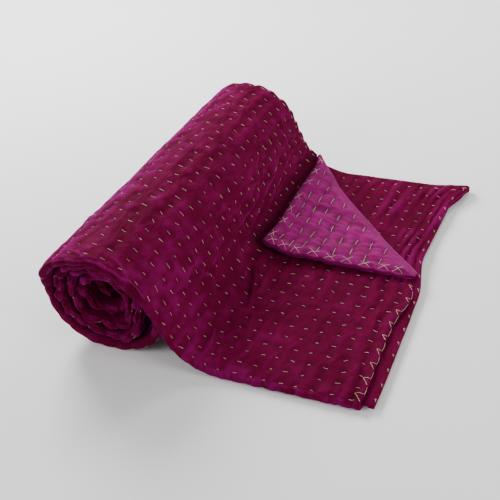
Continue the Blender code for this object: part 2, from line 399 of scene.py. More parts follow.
def rowsAlong():
    marks, starts = list(grid["endRows"]), []
    for last, step in [*grid["rowSteps"], *((alongAt(turns), step) for turns, step in grid["rollSteps"])]:
        starts.append(len(marks) - 1)
        count = round((last - marks[-1]) / step)
        marks += list(np.linspace(marks[-1], last, count + 1)[1:])
    marks = np.array(marks)
    cornerRow = np.argmin(np.abs(marks - strip["corner"]))  # a row runs along the turned corner's edge
    marks[cornerRow] = strip["corner"]
    return marks, cornerRow, starts[-3]


rowAlong, cornerRow, thinRow = rowsAlong()
lastRow = len(rowAlong) - 1
rowAngle, rowTurns, rowHold = readPath(rowAlong)[2:]
nearPlace, farPlace = nearEdge(rowAlong, rowTurns), farEdge(rowAlong, rowTurns, rowHold)
diagonal = cornerEdge + 0.004 + (strip["corner"] - 0.004) * rowAlong / strip["corner"]
diagonal = diagonal - edges["cornerInset"] * smooth(0.0, 0.075, rowAlong)
foldPlace = np.where(rowAlong <= strip["corner"], diagonal, farPlace)


def ruffle(along, y, height, near, hold, turns, angle):
    # the last row of stitches gathers the near fold into lobes, and the lobes sway in and out of the roll
    beat = (along - rowPhase["top"][-1] + 0.0040 * wander(along * 27, 0 * y, 4.8)) / quilting["pitch"]
    lobe = np.floor(beat + 0.5)
    full = lobes(beat + 0.5, 0.7)  # 1 in the middle of a lobe, 0 at a stitch
    inner = smooth(0.80, 1.05, turns)
    outer = smooth(0.10, 0.45, turns) * (1 - inner)
    pressed = smooth(0.0, 0.75, np.cos(angle - 0.9)) * smooth(0.0, 0.1, turns)
    inward = np.maximum(y - near, 0)
    lip, back, thin = (np.exp(-inward / depth) for depth in (edges["lipDepth"], edges["swayDepth"], 0.010))
    slant = wander(lobe * 0.37, 0 * y, 2.6)
    x, z = readPath(along)[:2]
    crumple = wander(along * 44, height * 60, 7.3) + 0.4 * wander(along * 95, height * 110, 3.7)
    level = (height - bottomH) / (topH - bottomH)
    nose = y < near + 0.007
    slack = 0.03 + 0.05 * hold + 0.16 * outer + inner * (1 - 0.5 * pressed)
    drawn = edges["bulge"] * (1 - full * (1 + 0.6 * slant)) * slack
    drawn += inner * (0.0046 * crumple - 0.0056 * slant) + (0.0005 * hold + 0.0008 * outer) * crumple
    groove = hump(level, 0.5 + 0.2 * slant, 0.20)
    drawn += nose * groove * (0.0004 + 0.0006 * outer + 0.0016 * inner * (1 - pressed) * (0.6 + 0.8 * crumple))
    ledge = 0.0018 * hump(level, 0.55, 0.16) - edges["ledge"] * smooth(0.62, 0.42, level)
    drawn += nose * pressed * inner * ledge
    for (step, size), top in zip(edges["nearSteps"], (0.66, 0.36)):
        # under each step of the outermost edge the lip below it runs on
        kept = smooth(0.335, 0.372, along) * smooth(step + 0.003, step - 0.003, along)
        drawn -= nose * kept * (size * smooth(top + 0.06, top - 0.06, level) - 0.0016 * hump(level, top, 0.09))
    flat = window(turns, 0.03, 0.12, 0.40, 0.50)  # the outermost lip is flat over the top of the roll
    squeeze = (1 - full) * (0.10 + 0.12 * outer + 0.40 * inner) + 0.20 * (1 - hold) * thin
    squeeze += inner * thin * (0.10 + 0.26 * wander(along * 24, 0 * y, 5.5)) + 0.60 * flat * thin
    roam = wander(x * 44, z * 44, 6.4) + 0.45 * wander(lobe * 0.61, 0 * y, 9.9) * full
    sway = edges["sway"] * roam * inner - 0.0014 * np.abs(roam) * outer
    sway += edges["coreShift"] * np.maximum(0, turns - 0.6) * np.cos(angle - 0.9)
    sway += edges["footLobe"] * hump(turns, 0.885, 0.08) + edges["settle"] * hump(turns, 1.66, 0.17)
    middle = topH - 0.35 * (topH - bottomH)
    return y + lip * drawn, middle + (height - middle) * (1 - squeeze * lip) + sway * back


def halfTurn(count, start, middleY, middleH, radius, side):
    angle = np.pi * np.arange(1, count + 1) / (count + 1)
    y = middleY + radius * np.sin(angle)[None] * side
    return y, middleH + start * radius * np.cos(angle)[None] + 0 * y


def buildGrid():
    along = rowAlong[:, None]
    near, edge, hold, turns = (a[:, None] for a in (nearPlace, foldPlace, rowHold, rowTurns))
    lower = (farPlace - strip["lowerShort"] * (1 - rowHold))[:, None]
    openFold = edges["openFold"] * smooth(0.055, 0.004, along)  # the far fold gapes at the loose end
    nearR, farR = (topH - bottomH) / 2, (middleH - bottomH) / 2
    nearY, farY = near + nearR + strip["sheet"] / 2, lower - farR - strip["sheet"] / 2
    blocks = {}

    def block(name, layer, y, height, end=0, share=1):
        first, shape = sum(b["count"] for b in blocks.values()), (len(rowAlong), y.shape[1])
        b = blocks[name] = dict(first=first, count=shape[1], columns=slice(first, first + shape[1]), layer=layer)
        for key, values in (("y", y), ("height", height), ("share", share), ("end", end)):
            b[key] = np.broadcast_to(values, shape).astype(float)

    rim = np.array(grid["flapRim"])[None]
    rim = np.minimum(rim, (edge - cornerEdge) * np.arange(rim.size)[None] / (grid["flap"] - 1))
    part = np.linspace(0, 1, grid["flap"] - rim.shape[1] + 1)[None, 1:]
    y = cornerEdge + np.concatenate([rim, rim[:, -1:] + (edge - cornerEdge - rim[:, -1:]) * part], axis=1)
    beads = lobes((strip["corner"] - along) / sewing["edgePitch"], 0.7) * smooth(0, 0.03, edge - cornerEdge)
    y = y - edges["cornerScallop"] * beads * (1 - smooth(0, 0.05, y - cornerEdge))
    lift = strip["cornerLift"] * smooth(0.0, 1.0, (edge - y) / strip["corner"])
    lift += strip["edgeLift"] * smooth(0.06, 0.0, strip["corner"] - along) * smooth(0.0, 0.08, edge - y)
    lift += 0.0012 * wander(along * 28, y * 28, 3.9) * smooth(0.0, 0.03, edge - y)
    block("flap", "top", y, flapH + lift)
    bend = halfTurn(grid["flapBend"], 1, edge, (flapH + topH) / 2, (flapH - topH) / 2, math.sqrt(2))
    block("flapBend", "top", *bend)
    y = nearY + (edge - nearY) * np.linspace(1, 0, grid["top"])[None]
    block("top", "top", y, topH, topEnd(y))
    block("nearBend", "top", *halfTurn(grid["nearBend"], 1, nearY, (topH + bottomH) / 2, nearR, -1), topEnd(nearY))
    part = np.array(grid["bottom"])[None]
    y = nearY + (farY - nearY) * part
    block("bottom", "bottom", y, bottomH, lowerEnd(y) - 0.017 * (1 - part) ** 2 - 0.004 * smooth(0.22, 0.26, y))
    bend = halfTurn(grid["farBend"], -1, farY, (middleH + bottomH + openFold) / 2, farR + openFold / 2, 1)
    block("farBend", "middle", *bend, lowerEnd(farY), 0.75)
    nearY = nearY + strip["sheet"] / 4
    y = nearY + (farY - nearY) * np.linspace(1, 0, grid["middle"])[None]
    block("middle", "middle", y, middleH + openFold * smooth(0.415, 0.480, y), lowerEnd(y))

    joined = {key: np.concatenate([b[key] for b in blocks.values()], axis=1) for key in ("y", "height", "end")}
    y, height = ruffle(along, joined["y"], joined["height"], near, hold, turns, rowAngle[:, None])
    drawn = edges["cornerDraw"] * smooth(0.10, strip["corner"], along)
    drawn = drawn * smooth(0, 0.05, y - cornerEdge) * smooth(0, 0.03, edge - y)
    drawn[:, blocks["flapBend"]["first"] :] = 0
    middle = placeCloth(along - drawn, y, height, joined["end"])
    middle[cornerRow + 1 :, : blocks["top"]["first"]] = np.nan
    return blocks, joined, middle


def gridNormals(points):
    # the way out of the velvet side, from the grid's own two directions
    slopes = []
    for axis in (0, 1):
        step = np.diff(points, axis=axis)
        gap = np.full_like(np.take(points, [0], axis), np.nan)
        both = np.stack([np.concatenate([step, gap], axis), np.concatenate([gap, step], axis)])
        known = ~np.isnan(both)
        slopes.append(np.where(known, both, 0).sum(0) / np.maximum(known.sum(0), 1))
    normal = np.cross(*slopes)
    return normal / np.maximum(np.linalg.norm(normal, axis=-1, keepdims=True), 1e-12)


blocks, joined, middleGrid = buildGrid()
normalGrid = gridNormals(middleGrid)
lastColumn = middleGrid.shape[1] - 1
print("cloth laid out", middleGrid.shape)

# relief of the velvet side, and the painted light on it: painted highlight where it stands up and over the roll's
# crown, painted shade where it sinks
relief = {
    "puff": (0.0005, 0.0009, 0.0004),  # on the roll: least, and more in places; and on the floor
    "endPuff": 0.0015,
    "pucker": (0.0010, 0.0009),  # on the floor, and how much more on the roll
    "swell": 0.0012,
    "crease": (1.4, 0.8),  # times their own height, and how much more at the foot
    # painted highlight on the creases and painted shade beside them, and how much more at the foot
    "creasePaintedLight": (260, 1700),
    "besideCorner": (0.0016, 0.0052),  # depth of the valley there, and the painted shade in it
    "middlePuff": 0.0005,
    "ridge": (0.0072, 0.0012),  # height of the middle third's ridges, and how much less near the end
    "ridgePitch": (0.0150, 0.0215, 0.062),  # near the end, beyond, and where that begins
    # painted highlight and shade that follow the puckers
    "paintedReliefLight": 0.0008,
    # scale of the painted light before it is squeezed between painted shade and painted highlight
    "paintedLightRange": 0.0018,
}


def topRelief(along, turns, hold, y, wave, dip):
    rough = 0.5 + 0.5 * wander(along * 17, y * 13, 3.3)
    free = 1 - smooth(0.86, 0.98, turns)  # nothing lies on the outer turn
    lying = 1 - smooth(0.26, 0.34, along)
    least, more, floor = relief["puff"]
    tall = (least + more * rough) * (1 - 0.5 * lying) + lying * floor * rough
    tall = tall + relief["endPuff"] * smooth(0.12, 0.0, along)
    pucker = wander(along * 62, y * 50, 6.1) + 0.55 * wander(along * 118 + y * 30, y * 88, 7.7)
    height = tall * wave * (0.3 + 0.7 * free)
    height += (relief["pucker"][0] + relief["pucker"][1] * smooth(0.36, 0.44, along)) * pucker
    height += relief["swell"] * wander(along * 21, y * 16, 2.9) * free
    height *= 1 - 0.45 * window(turns, 0.25, 0.29, 0.38, 0.44)  # smoother over the crown
    crossed = creaseRelief(along, y)
    height += crossed * (relief["crease"][0] + relief["crease"][1] * window(along, 0.24, 0.28, 0.33, 0.36))
    valley = hump(along, strip["corner"], 0.015) * smooth(0.20, 0.30, y)  # a valley beside the turned corner, with painted shade in it
    height -= quilting["dimple"] * dip + relief["besideCorner"][0] * valley
    # painted highlight on the puffs and puckers, painted shade between them and in the stitches' dimples
    paintedLight = tall * (wave - 0.62) * free * (0.25 + 0.5 * smooth(0.10, 0.0, along))
    paintedLight += relief["paintedReliefLight"] * pucker - 0.0007 * dip
    # painted highlight along the creases, painted shade in the hollows beside them, more at the foot
    shade, footCreasePaintedLight = relief["creasePaintedLight"]
    paintedLight += (shade + footCreasePaintedLight * smooth(0.20, 0.26, along)) * crossed * np.abs(crossed)
    # painted shade in that valley
    paintedLight -= relief["besideCorner"][1] * valley
    paintedSheen = window(along, 0.425, 0.49, 0.64, 0.80)  # painted sheen over the roll's crown
    # painted sheen with the puckers in it, and painted shade where the cloth lies flat on the floor
    paintedLight += paintedSheen * (0.0010 + 0.0014 * pucker) - 0.0004 * lying
    # painted light on the foot and the rise
    paintedLight += 0.0003 * window(along, 0.20, 0.26, 0.38, 0.42)
    paintedLight += 0.0006 * smooth(0.17, 0.05, y) * window(along, 0.08, 0.14, 0.36, 0.42)  # painted highlight towards the near edge
    # painted highlight along the near fold where the cloth lies flat
    paintedLight += 0.0010 * smooth(0.035, 0.0, y - nearPlace[:, None]) * (1 - hold) * smooth(0.08, 0.16, along)
    return height, paintedLight


def middleRelief(along, turns, hold, y, wave, dip):
    tall, less = relief["ridge"]
    close, wide, change = relief["ridgePitch"]
    shown, near = smooth(0.27, 0.24, along), smooth(0.19, 0.27, y)
    place = along - 0.0085 + 0.0034 * wander(y * 13, along * 16, 7.4) + 0.11 * (y - 0.36)
    folds = lobes(np.minimum(place, change) / close + np.maximum(place - change, 0) / wide + 0.5, 0.55)
    folds *= (0.45 + 0.60 * smooth(0.15, 0.05, along)) * near * smooth(0.489, 0.462, y)
    folds *= np.maximum(0.72 + 1.0 * wander(y * 14, along * 34, 1.2), 0.06)
    beads = lobes((y - 0.012) / sewing["edgePitch"], 0.6) * smooth(0.022, 0.004, along)
    height = relief["middlePuff"] * wave + (tall - less * smooth(0.080, 0.050, along)) * folds * shown
    height += 0.0010 * beads - 0.7 * quilting["dimple"] * dip + 0.0006 * wander(along * 70, y * 50, 6.6)
    # painted highlight on the ridges, painted shade between them and in the dimples, with a little tone at random
    paintedLight = 0.0022 * (folds - 0.42 * near) * shown - 0.0007 * dip + 0.0005 * wander(along * 62, y * 44, 6.6)
    return height, paintedLight


def nearBendRelief(along, turns, hold, y, wave, dip):
    rounded = np.linspace(0, 1, y.shape[1])[None]
    rolled = smooth(0.8, 1.1, turns)
    soft = wander(along * 68, rounded * 2.6, 5.2) + 0.5 * wander(along * 130, rounded * 5.0, 9.4)
    fine = wander(along * 150, rounded * 0.8, 2.1)
    band = window(along, 0.335, 0.372, 0.44, 0.47)
    sharp = 0.50 - 2.4 * np.abs(wander(along * 72 + rounded * 1.4, rounded * 2.6, 1.7)) + 0.4 * soft
    height = 0.0006 * wave - 0.0003 + (0.0003 + 0.0007 * band) * soft + 0.0008 * (1 - hold) * fine
    height += (0.0024 * rolled + 0.0008 * band) * sharp
    # painted highlight on the puffs, the sharp crumples and the band, painted shade between them
    paintedLight = 0.0010 * (wave - 0.45) + relief["paintedReliefLight"] * soft + 0.0014 * rolled * sharp + band * (0.0002 + 0.0012 * sharp)
    # painted highlight on the near fold where the cloth lies flat
    paintedLight += (1 - hold) * (0.0018 * fine + 0.0004 + 0.0010 * smooth(0.08, 0.16, along))
    outermost = window(turns, 0.0, 0.05, 0.46, 0.56)  # painted highlight along its lip, painted shade on the face below it
    paintedLight += outermost * (0.0022 * hump(rounded, 0.10, 0.08) - 0.0013 * smooth(0.2, 0.4, rounded))
    return height, paintedLight


def hemRelief(y):
    return edges["hem"] * hump(y, cornerEdge, 0.0042) * smooth(0, 0.02, foldPlace[:, None] - cornerEdge)


def reliefGrid():
    # how far the velvet and the cotton side stand off the cloth's middle
    front, back, paintedLight = np.zeros((3, *middleGrid.shape[:2]))
    shapes = {"top": topRelief, "middle": middleRelief, "nearBend": nearBendRelief}
    along, turns, hold = (values[:, None] for values in (rowAlong, rowTurns, rowHold))
    for name, b in blocks.items():
        y, columns = b["y"], b["columns"]
        length, fromEdge = along + 0 * y, strip["width"] - y
        if name.startswith("flap"):
            length, fromEdge = strip["corner"] - fromEdge, strip["corner"] - length
        wave, dip = ridgeWave(b["layer"], length, fromEdge), dimples(b["layer"], length, fromEdge)
        half = strip["sheet"] / 2 * b["share"]
        front[:, columns] = half
        back[:, columns] = half * (0.85 if name in ("nearBend", "farBend") else 1)
        if name in shapes:
            height, paintedLight[:, columns] = shapes[name](along, turns, hold, y, wave, dip)
            front[:, columns] += height
        elif name.startswith("flap"):
            front[:, columns] += 0.0003 * wave - 0.0005
        if name == "flap":
            hem = hemRelief(y)
            front[:, columns] += hem
            back[:, columns] += 0.0008 * wave + 0.5 * hem
            # painted highlight along the thicker hem
            paintedLight[:, columns] = 0.0016 / edges["hem"] * hem
    # the painted light runs from 0, deepest painted shade, to 1, brightest painted highlight
    return front, back, 0.5 + 0.5 * np.tanh(paintedLight / relief["paintedLightRange"])


frontOff, backOff, paintedLightGrid = reliefGrid()
frontGrid = middleGrid + normalGrid * frontOff[..., None]
backGrid = middleGrid - normalGrid * backOff[..., None]
for side in (frontGrid, backGrid):
    low = side[..., 2] < 2 * strip["floorGap"]  # rests on the floor
    side[low, 2] = strip["floorGap"] + 0.25 * np.clip(side[low, 2], 0, 4 * strip["floorGap"])


# the quilt as one closed sheet
def cellCuts(name, side, band):
    # how many rows and columns of the grid go into one face: few where the cloth shows
    b = blocks[name]
    first, last = b["first"], min(b["first"] + b["count"], lastColumn)
    wound = band == 3
    if side == "front":
        step = {"flap": (2, 4), "bottom": (2, 1)}.get(name, (1, 1))
        if name == "middle" and band > 0:
            step = (3, 10)
        if wound:
            step = {"top": (2, 16), "nearBend": (1, 1), "bottom": (2, 1)}.get(name, (3, 10))
    elif wound:
        step = (4, 4) if name == "nearBend" else (4, 16)
    else:
        steps = {"flap": (2, 3), "flapBend": (2, 1), "nearBend": (2, 3), "farBend": (3, 3), "bottom": (3, 2)}
        step = steps.get(name, (3, 8))
    columns = list(range(first, last, step[1])) + [last]
    if name == "top" and wound and side == "front":
        columns = [c for c in columns if c < last - 7] + list(range(last - 7, last + 1))
    if name == "flap":
        columns = [0, 1, 2, 3] + [c for c in columns if c > 3]
    return step[0], columns


def onRim(row, column):
    flapEnd = blocks["top"]["first"]
    if row in (0, lastRow) or column == lastColumn or (row == cornerRow and column <= flapEnd):
        return True
    return column == (0 if row < cornerRow else flapEnd)


def cellFaces():
    # one face for each group of cells on each side, with every corner that its neighbours have
    bands = [0, cornerRow, cornerRow + 12, thinRow, lastRow]
    groups = {"front": [], "back": []}
    for side, cells in groups.items():
        for band, (low, high) in enumerate(zip(bands, bands[1:])):
            for name in blocks:
                if name.startswith("flap") and band > 0:
                    continue
                rowStep, columns = cellCuts(name, side, band)
                rows = list(range(low, high, rowStep)) + [high]
                cells += [(*r, *c) for r in zip(rows, rows[1:]) for c in zip(columns, columns[1:])]
    corners = {
        side: {(r, c) for r0, r1, c0, c1 in cells for r in (r0, r1) for c in (c0, c1)}
        for side, cells in groups.items()
    }
    shared = {corner for side in corners.values() for corner in side if onRim(*corner)}
    faces = []
    for side, cells in groups.items():
        kept = corners[side] | shared
        faces.append([])
        for r0, r1, c0, c1 in cells:
            border = [(r0, c) for c in range(c1, c0, -1)] + [(r, c0) for r in range(r0, r1)]
            border += [(r1, c) for c in range(c0, c1)] + [(r, c1) for r in range(r1, r0, -1)]
            faces[-1].append([corner for corner in border if corner in kept])
    return faces


def unit(vector):
    return vector / max(np.linalg.norm(vector), 1e-9)


def closedSheet(name, front, back, frontFaces, backFaces, rimOut, paintedLightOf, materials, hem=0):
    # joins a front and a back side along their rim, with one more line of points that rounds it
    numbers, sources, points = [], [], []
    for surface, faces in ((front, frontFaces), (back, backFaces)):
        used = sorted({corner for face in faces for corner in face})
        numbers.append({corner: len(sources) + i for i, corner in enumerate(used)})
        sources += used
        points.append(surface[tuple(np.array(used).T)])
    edgeFace = {edge: face for face in frontFaces for edge in zip(face, face[1:] + face[:1])}
    rim = [(a, b) for a, b in edgeFace if (b, a) not in edgeFace]
    middle = (front + back) / 2
    outward = {}
    for a, b in rim:
        along = middle[b] - middle[a]
        away = (middle[a] + middle[b]) / 2 - np.mean([middle[corner] for corner in edgeFace[(a, b)]], axis=0)
        away = unit(away - along * (away @ along) / max(along @ along, 1e-12))
        for corner in (a, b):
            outward[corner] = outward.get(corner, 0) + away
    rimCorners = sorted(outward)
    points.append(np.array([middle[c] + unit(outward[c]) * rimOut for c in rimCorners]))
    (low, high), edge = numbers, {corner: len(sources) + i for i, corner in enumerate(rimCorners)}
    sources += rimCorners
    polygons = [[low[c] for c in face] for face in frontFaces] + [[high[c] for c in face[::-1]] for face in backFaces]
    kinds = [0] * len(frontFaces) + [2 if max(c for _, c in face) <= hem else 1 for face in backFaces]
    for a, b in rim:
        polygons += [[low[b], low[a], edge[a], edge[b]], [edge[b], edge[a], high[a], high[b]]]
        kinds += [2, 2]
    mesh = bpy.data.meshes.new(name)
    mesh.from_pydata(np.concatenate(points).tolist(), [], polygons)
    for material in materials:
        mesh.materials.append(material)
    mesh.polygons.foreach_set("material_index", kinds)
    mesh.shade_smooth()
    source = tuple(np.array(sources).T)
    loops = np.empty(len(mesh.loops), dtype=np.int32)
    mesh.loops.foreach_get("vertex_index", loops)
    mesh.uv_layers.new(name="clothUV").data.foreach_set("uv", uvGrid[source][loops].astype(np.float32).ravel())
    # each point carries its painted light for the materials
    mesh.attributes.new("paintedLight", "FLOAT", "POINT").data.foreach_set("value", paintedLightOf[source].astype(np.float32))
    mesh.validate()
    return addObject(name, mesh)


def clothUv():
    # metres along and across the opened sheet: longer round the outside of the roll, shorter in the foot's hollow
    across = 0 * joined["y"]
    length = (rowAlong + topH * (rowAngle - math.pi / 2))[:, None] + across
    starts = {"top": 0.0, "nearBend": 0.49, "bottom": 0.505, "farBend": 0.99, "middle": 1.0}
    for name, b in blocks.items():
        columns, fromEdge = b["columns"], strip["width"] - b["y"]
        if name.startswith("flap"):
            across[:, columns] = strip["corner"] - rowAlong[:, None]
            length[:, columns] = strip["corner"] - fromEdge
        elif name == "bottom":
            across[:, columns] = starts[name] + b["y"]
        else:
            across[:, columns] = starts[name] + (np.linspace(0, 0.012, b["count"]) if "Bend" in name else fromEdge)
    return np.stack([length, across], axis=-1)


uvGrid = clothUv()


# materials
def setInputs(node, values):
    # each input gets its value, or a link where that is another node's socket
    for key, value in values.items():
        if isinstance(value, bpy.types.NodeSocket):
            node.id_data.links.new(value, node.inputs[key])
        else:
            node.inputs[key].default_value = value
    return node


def addNode(tree, kind, values, **settings):
    node = tree.nodes.new(kind)
    for key, value in settings.items():
        setattr(node, key, value)
    return setInputs(node, values)


def newTree(name, kind, inputs, outputs):
    tree = bpy.data.node_groups.new(name, kind)
    for way, sockets in (("INPUT", inputs), ("OUTPUT", outputs)):
        for label, socket, *value in sockets:
            made = tree.interface.new_socket(name=label, in_out=way, socket_type="NodeSocket" + socket)
            if value:
                made.default_value = value[0]
    return tree, tree.nodes.new("NodeGroupInput").outputs


def newMaterial(name):
    material = bpy.data.materials.new(name)
    material.use_nodes = True
    return material, material.node_tree, material.node_tree.nodes["Principled BSDF"]


def noiseMask(tree, place, scale, detail, rough=0.5, twist=0.0):
    values = {"Vector": place, "Scale": scale, "Detail": detail, "Roughness": rough, "Distortion": twist}
    return addNode(tree, "ShaderNodeTexNoise", values).outputs["Fac"]


def spread(tree, mask, low, high, least=0.0, most=1.0):
    values = {"Value": mask, "From Min": low, "From Max": high, "To Min": least, "To Max": most}
    return addNode(tree, "ShaderNodeMapRange", values).outputs["Result"]


def mixColours(tree, mask, dark, light):
    dark, light = ((*colour, 1) if isinstance(colour, tuple) else colour for colour in (dark, light))
    return addNode(tree, "ShaderNodeMix", {0: mask, 6: dark, 7: light}, data_type="RGBA").outputs[2]


def paintedLightMask(tree, *limits):
    # reads the painted highlight and shade that each point carries
    reader = addNode(tree, "ShaderNodeAttribute", {}, attribute_name="paintedLight")
    return spread(tree, reader.outputs["Fac"], *limits)


def clothPlace(tree):
    return addNode(tree, "ShaderNodeUVMap", {}, uv_map="clothUV").outputs["UV"]


def objectPlace(tree):
    return tree.nodes.new("ShaderNodeTexCoord").outputs["Object"]


def mapped(tree, place, **values):
    return addNode(tree, "ShaderNodeMapping", {"Vector": place, **values}).outputs["Vector"]


def addBumps(tree, shader, heights, sizes):
    # stacked, each with its strength and distance
    normal = {}
    for height, (strength, distance) in zip(heights, sizes):
        bump = addNode(tree, "ShaderNodeBump", {"Height": height, "Strength": strength, "Distance": distance, **normal})
        normal = {"Normal": bump.outputs["Normal"]}
    setInputs(shader, normal)


def unevenGroup():
    # broad brushed patches and fine speckle, as masks
    inputs = (("Vector", "Vector"), ("Patch Scale", "Float", 14.0), ("Speck Scale", "Float", 700.0))
    tree, given = newTree("unevenCloth", "ShaderNodeTree", inputs, (("Patches", "Float"), ("Specks", "Float")))
    patches = spread(tree, noiseMask(tree, given["Vector"], given["Patch Scale"], 4), 0.36, 0.66)
    specks = spread(tree, noiseMask(tree, given["Vector"], given["Speck Scale"], 2), 0.25, 0.75)
    addNode(tree, "NodeGroupOutput", {"Patches": patches, "Specks": specks})
    return tree


uneven = unevenGroup()


def mottled(tree, place, look):
    values = {"Vector": place, "Patch Scale": look["patchScale"], "Speck Scale": look["speckScale"]}
    outputs = addNode(tree, "ShaderNodeGroup", values, node_tree=uneven).outputs
    return outputs["Patches"], outputs["Specks"]


velvetLook = {
    "patchScale": 15.0,
    "speckScale": 900.0,
    "stretch": (1.0, 0.5, 1.0),
    "wrinkles": ((46.0, 3.2, 0.52, 0.4), (150.0, 2.5, 0.55, 0.2)),  # scale, detail, roughness, twist
    "broad": ((0.090, 0.0003, 0.019), (0.130, 0.0005, 0.031)),
    "paintedSheen": (0.190, 0.0016, 0.066),  # painted highlight along the crests of the wrinkles
    "specks": (0.074, 0.0002, 0.018),
    # painted shade, for where the painted light is low
    "pressed": (0.050, 0.0001, 0.010),
    # painted highlight, for where the painted light is high
    "paintedHighlight": (0.240, 0.0024, 0.128),
    "finish": {
        "Roughness": 0.82,
        "Specular IOR Level": 0.03,
        "Sheen Weight": 1.0,
        "Sheen Roughness": 0.17,
        "Sheen Tint": (1.0, 0.02, 0.85, 1),
    },
    "bumps": ((0.9, 0.0072), (0.6, 0.0017), (0.35, 0.0004)),
}


def velvetMaterial(look):
    material, tree, shader = newMaterial("velvetPile")
    patches, specks = mottled(tree, objectPlace(tree), look)
    stretched = mapped(tree, clothPlace(tree), Scale=look["stretch"])
    wrinkles = [noiseMask(tree, stretched, *values) for values in look["wrinkles"]]
    colour = mixColours(tree, patches, *look["broad"])
    # painted highlight on the crests of the bump's wrinkles
    colour = mixColours(tree, spread(tree, wrinkles[0], 0.46, 0.72), colour, look["paintedSheen"])
    colour = mixColours(tree, specks, look["specks"], colour)
    # painted shade where the painted light is low, painted highlight where it is high
    colour = mixColours(tree, paintedLightMask(tree, 0.05, 0.5, 0.25, 1.0), look["pressed"], colour)
    colour = mixColours(tree, paintedLightMask(tree, 0.60, 1.0, 0.0, 0.60), colour, look["paintedHighlight"])
    setInputs(shader, {"Base Color": colour, **look["finish"]})
    addBumps(tree, shader, [*wrinkles, specks], look["bumps"])
    return material


cottonLook = {
    "patchScale": 24.0,
    "speckScale": 1400.0,
    "broad": ((0.180, 0.0002, 0.080), (0.248, 0.0006, 0.126)),
    # painted shade in the cotton's wrinkles, between its puffs and where the stitches hold it down
    "folded": (0.112, 0.0001, 0.050),
    "finish": {"Roughness": 0.85, "Specular IOR Level": 0.08, "Sheen Weight": 0.05},
    "weave": {"Scale": 320.0, "Distortion": 0.6},
    "stretch": (1.0, 0.34, 1.0),
    "wrinkles": (120.0, 3.0, 0.5, 0.5),
    "bumps": ((0.8, 0.0026), (0.5, 0.0003)),
}


def cottonMaterial(look):
    material, tree, shader = newMaterial("cottonWeave")
    place = clothPlace(tree)
    colour = mixColours(tree, mottled(tree, place, look)[0], *look["broad"])
    # painted shade where the painted light is low
    colour = mixColours(tree, paintedLightMask(tree, 0.05, 0.6, 0.0, 1.0), look["folded"], colour)
    setInputs(shader, {"Base Color": colour, **look["finish"]})
    weave = {}
    for number, turn in enumerate((0, math.pi / 2)):
        values = {"Vector": mapped(tree, place, Rotation=(0, 0, turn)), **look["weave"]}
        weave[number] = addNode(tree, "ShaderNodeTexWave", values, wave_type="BANDS").outputs["Fac"]
    woven = addNode(tree, "ShaderNodeMath", weave, operation="MULTIPLY").outputs["Value"]
    wrinkle = noiseMask(tree, mapped(tree, place, Scale=look["stretch"]), *look["wrinkles"])
    addBumps(tree, shader, [wrinkle, woven], look["bumps"])
    return material


threadLook = {
    "patchScale": 60.0,
    "speckScale": 1800.0,
    "broad": ((0.46, 0.36, 0.24), (0.78, 0.66, 0.50)),
    "roughness": 0.6,
    "bumps": ((0.5, 0.0002),),
}


def threadMaterial(look):
    material, tree, shader = newMaterial("creamThread")
    patches, specks = mottled(tree, objectPlace(tree), look)
    setInputs(shader, {"Base Color": mixColours(tree, patches, *look["broad"]), "Roughness": look["roughness"]})
    addBumps(tree, shader, [specks], look["bumps"])
    return material


velvet, cotton, thread = velvetMaterial(velvetLook), cottonMaterial(cottonLook), threadMaterial(threadLook)
print("materials made")

quilt = closedSheet(
    "quiltCloth", frontGrid, backGrid, *cellFaces(), edges["rim"], paintedLightGrid, [velvet, cotton, velvet], hem=3
)
quilt.data.calc_loop_triangles()
print("quilt", len(quilt.data.polygons), "faces", len(quilt.data.loop_triangles), "triangles")


# the cotton back on the turned corner
cottonPanel = {
    "gap": 0.0003,
    "thick": 0.0008,
    "rim": 0.0002,
    "inset": 1,  # columns of velvet that show past the cotton at the stitched edge
    "pastFold": 4,  # columns of the fold that it covers
    "puff": 0.0030,
    "wrinkle": 0.0028,
    "least": 0.0012,
    "rows": 9,
    "most": 9,  # stitches in a row
    "rowGap": 0.0243,
    "firstRow": 0.0235,
    "phase": 0.015,
    "pitch": 0.0300,
    "slip": 0.0016,
    "stitch": 0.0155,
    "unevenStitch": 0.13,
    "shortest": 0.0060,
    "firstStitch": 0.0158,  # centre of the first stitch, at least this far from the lower edge
    "held": 0.0055,
    "seed": 21,
}
panelRows = cottonPanel["firstRow"] + cottonPanel["rowGap"] * np.arange(cottonPanel["rows"])
drawPanel = np.random.default_rng(cottonPanel["seed"])
panelPhase = cottonPanel["phase"] + drawPanel.uniform(-0.005, 0.009, len(panelRows))
panelJitter = drawPanel.normal(0, 1, (2, len(panelRows), cottonPanel["most"]))


def panelStitch(row, number):
    # centre and length of a stitch on the cotton side, and if it is there, by row and number from the lower edge
    slip, uneven = cottonPanel["slip"] * panelJitter[0][row, number], np.clip(panelJitter[1][row, number], -1.5, 1.5)
    centre = np.maximum(panelPhase[row] + cottonPanel["pitch"] * number + slip, cottonPanel["firstStitch"])
    room = strip["corner"] - edges["cornerInset"] - panelRows[row] - 0.001
    size = cottonPanel["stitch"] * (1 + cottonPanel["unevenStitch"] * uneven)
    size = np.minimum(size, 2 * (room - centre))  # shorter where the row runs into the fold
    return centre, size, size > cottonPanel["shortest"]


